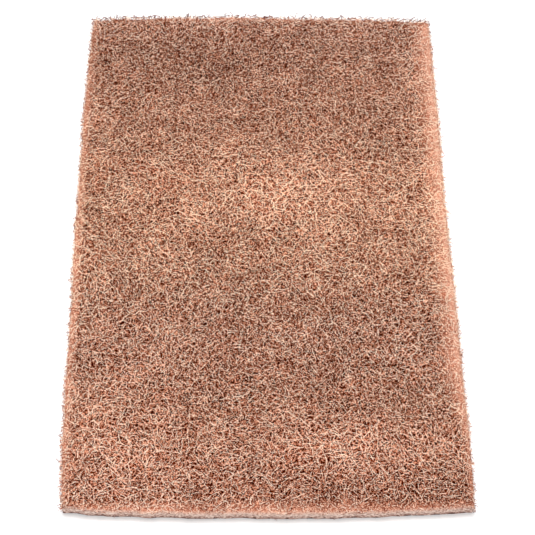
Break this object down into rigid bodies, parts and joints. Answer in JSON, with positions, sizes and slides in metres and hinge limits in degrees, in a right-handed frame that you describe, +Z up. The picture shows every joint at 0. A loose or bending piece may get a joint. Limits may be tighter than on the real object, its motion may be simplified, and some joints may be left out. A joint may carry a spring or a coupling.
{
  "type": "abrasive hand pad",
  "caption": "Flat rectangular hand pad of lofty non-woven abrasive web, with a tangled fibre face and frayed die-cut edges.",
  "frame": {"origin": "middle of the pad's underside, on the surface that it rests on", "axes": "+Y along the long side, away from the front edge; +X along the short side, to the right; +Z up through the thickness"},
  "size_m": [0.153, 0.2306, 0.0069],
  "materials": {
    "bonded_fibre": "copper-tan crimped synthetic fibre, bonded with dull gritty resin"
  },
  "bodies": {
    "root": {"fibre_pad": "bonded_fibre"}
  },
  "joints": []
}
